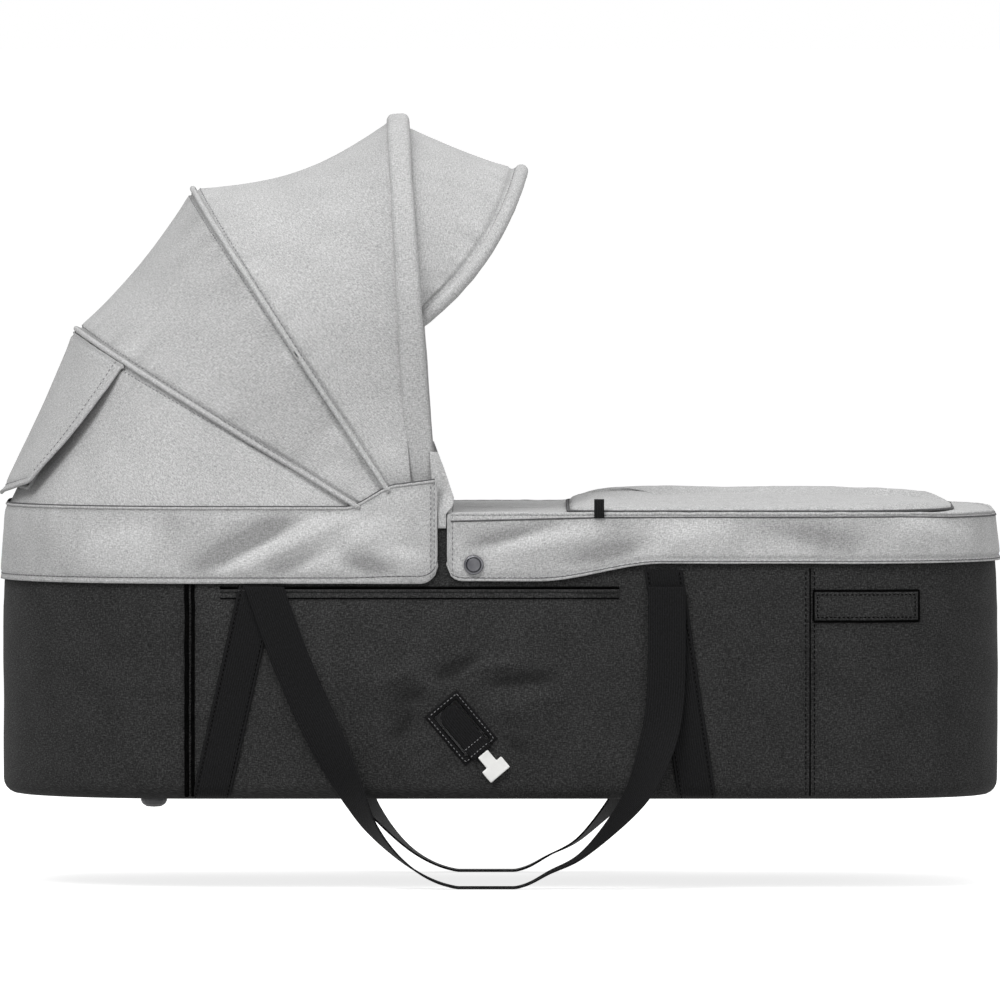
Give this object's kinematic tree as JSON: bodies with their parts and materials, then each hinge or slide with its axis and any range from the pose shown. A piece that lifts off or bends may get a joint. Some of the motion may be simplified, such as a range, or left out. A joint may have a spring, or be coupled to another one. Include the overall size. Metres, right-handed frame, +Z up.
{
  "type": "carrycot",
  "caption": "Stiffened fabric carrycot with a folding canopy and visor, vent flap, padded press-stud apron, quilted liner and mattress, and webbing carry handles that hang below the base.",
  "frame": {"origin": "centre of the base's flat underside, between the two ends and the two sides", "axes": "+X towards the foot end, +Y to the left side as seen looking to the foot end, +Z up"},
  "size_m": [0.8009, 0.451, 0.6153],
  "materials": {
    "charcoal_fabric": "matte",
    "grey_fabric": "matte",
    "lining_fabric": "matte",
    "black_webbing": "matte",
    "black_plastic": "satin",
    "white_plastic": "gloss",
    "dark_snap": "satin",
    "bow_steel": "satin",
    "rim_aluminium": "satin",
    "stiffener_board": "matte",
    "base_board": "matte",
    "mesh_net": "matte",
    "mattress_fabric": "matte"
  },
  "bodies": {
    "cot_body": {"outer_shell": "charcoal_fabric", "wall_stiffener": "stiffener_board", "rim_frame": "rim_aluminium", "base_board": "base_board", "inner_liner": "lining_fabric", "mattress": "mattress_fabric", "base_foot_left": "black_plastic", "base_foot_right": "black_plastic", "port_frame_left": "black_webbing", "port_frame_right": "black_webbing", "sewn_strap_head_left": "black_webbing", "sewn_strap_head_right": "black_webbing", "sewn_strap_foot_left": "black_webbing", "sewn_strap_foot_right": "black_webbing", "label_patch_left": "charcoal_fabric", "label_patch_right": "charcoal_fabric", "handle_anchor_head_left": "black_webbing", "handle_anchor_head_right": "black_webbing", "handle_anchor_foot_left": "black_webbing", "handle_anchor_foot_right": "black_webbing", "canopy_hub_left": "black_plastic", "canopy_hub_right": "black_plastic", "hub_rivet_left": "bow_steel", "hub_rivet_right": "bow_steel", "rear_bow_strip": "bow_steel", "canopy_rear_panel": "grey_fabric", "vent_net": "mesh_net", "canopy_skirt": "grey_fabric", "canopy_gusset_left": "grey_fabric", "canopy_gusset_right": "grey_fabric", "snap_stud_left": "dark_snap", "snap_stud_right": "dark_snap"},
    "mid_bow": {"mid_bow_strip": "bow_steel", "canopy_middle_panel": "grey_fabric"},
    "front_bow": {"front_bow_strip": "bow_steel", "front_sleeve": "grey_fabric", "canopy_front_panel": "grey_fabric", "visor_pin_left": "black_plastic", "visor_pin_right": "black_plastic"},
    "visor": {"visor_rim": "grey_fabric", "visor_panel": "grey_fabric"},
    "vent_flap": {"vent_flap": "grey_fabric"},
    "apron": {"apron_cover": "grey_fabric", "apron_pad": "grey_fabric", "apron_snap_left": "dark_snap", "apron_snap_right": "dark_snap", "apron_tab_left": "black_webbing", "apron_tab_right": "black_webbing"},
    "handle_left": {"handle_webbing_left": "black_webbing"},
    "clip_left": {"clip_tongue_left": "black_webbing", "t_clip_left": "white_plastic"},
    "handle_right": {"handle_webbing_right": "black_webbing"},
    "clip_right": {"clip_tongue_right": "black_webbing", "t_clip_right": "white_plastic"}
  },
  "joints": [
    {"name": "mid_bow_fold", "type": "hinge", "parent": "cot_body", "child": "mid_bow", "pos_m": [-0.06, 0, 0.2], "axis": [0, -1, 0], "range_deg": [0, 22.4], "deforming": ["canopy_middle_panel", "canopy_gusset_left", "canopy_gusset_right"]},
    {"name": "front_bow_fold", "type": "hinge", "parent": "mid_bow", "child": "front_bow", "pos_m": [-0.06, 0, 0.2], "axis": [0, -1, 0], "range_deg": [0, 26.3], "deforming": ["canopy_front_panel"]},
    {"name": "visor_fold", "type": "hinge", "parent": "front_bow", "child": "visor", "pos_m": [-0.07129, 0, 0.37464], "axis": [0, -1, 0], "range_deg": [0, 37], "deforming": ["visor_panel"]},
    {"name": "vent_flap_lift", "type": "hinge", "parent": "cot_body", "child": "vent_flap", "pos_m": [-0.33945, 0, 0.36885], "axis": [0, 1, 0], "range_deg": [0, 100]},
    {"name": "apron_open", "type": "hinge", "parent": "cot_body", "child": "apron", "pos_m": [0.40085, 0, 0.165], "axis": [0, 1, 0], "range_deg": [0, 95]},
    {"name": "handle_left_swing", "type": "hinge", "parent": "cot_body", "child": "handle_left", "pos_m": [0, 0.2, 0.1695], "axis": [1, 0, 0], "range_deg": [0, 170]},
    {"name": "clip_left_lift", "type": "hinge", "parent": "cot_body", "child": "clip_left", "pos_m": [-0.04386, 0.1971, 0.07232], "axis": [0.7659, 0, 0.6429], "range_deg": [0, 80]},
    {"name": "handle_right_swing", "type": "hinge", "parent": "cot_body", "child": "handle_right", "pos_m": [0, -0.2, 0.1695], "axis": [-1, 0, 0], "range_deg": [0, 170]},
    {"name": "clip_right_lift", "type": "hinge", "parent": "cot_body", "child": "clip_right", "pos_m": [-0.04386, -0.1971, 0.07232], "axis": [-0.7659, 0, -0.6429], "range_deg": [0, 80]}
  ],
  "couplings": [
    {"joint": "front_bow_fold", "follows": "mid_bow_fold", "ratio": 1.17}
  ]
}
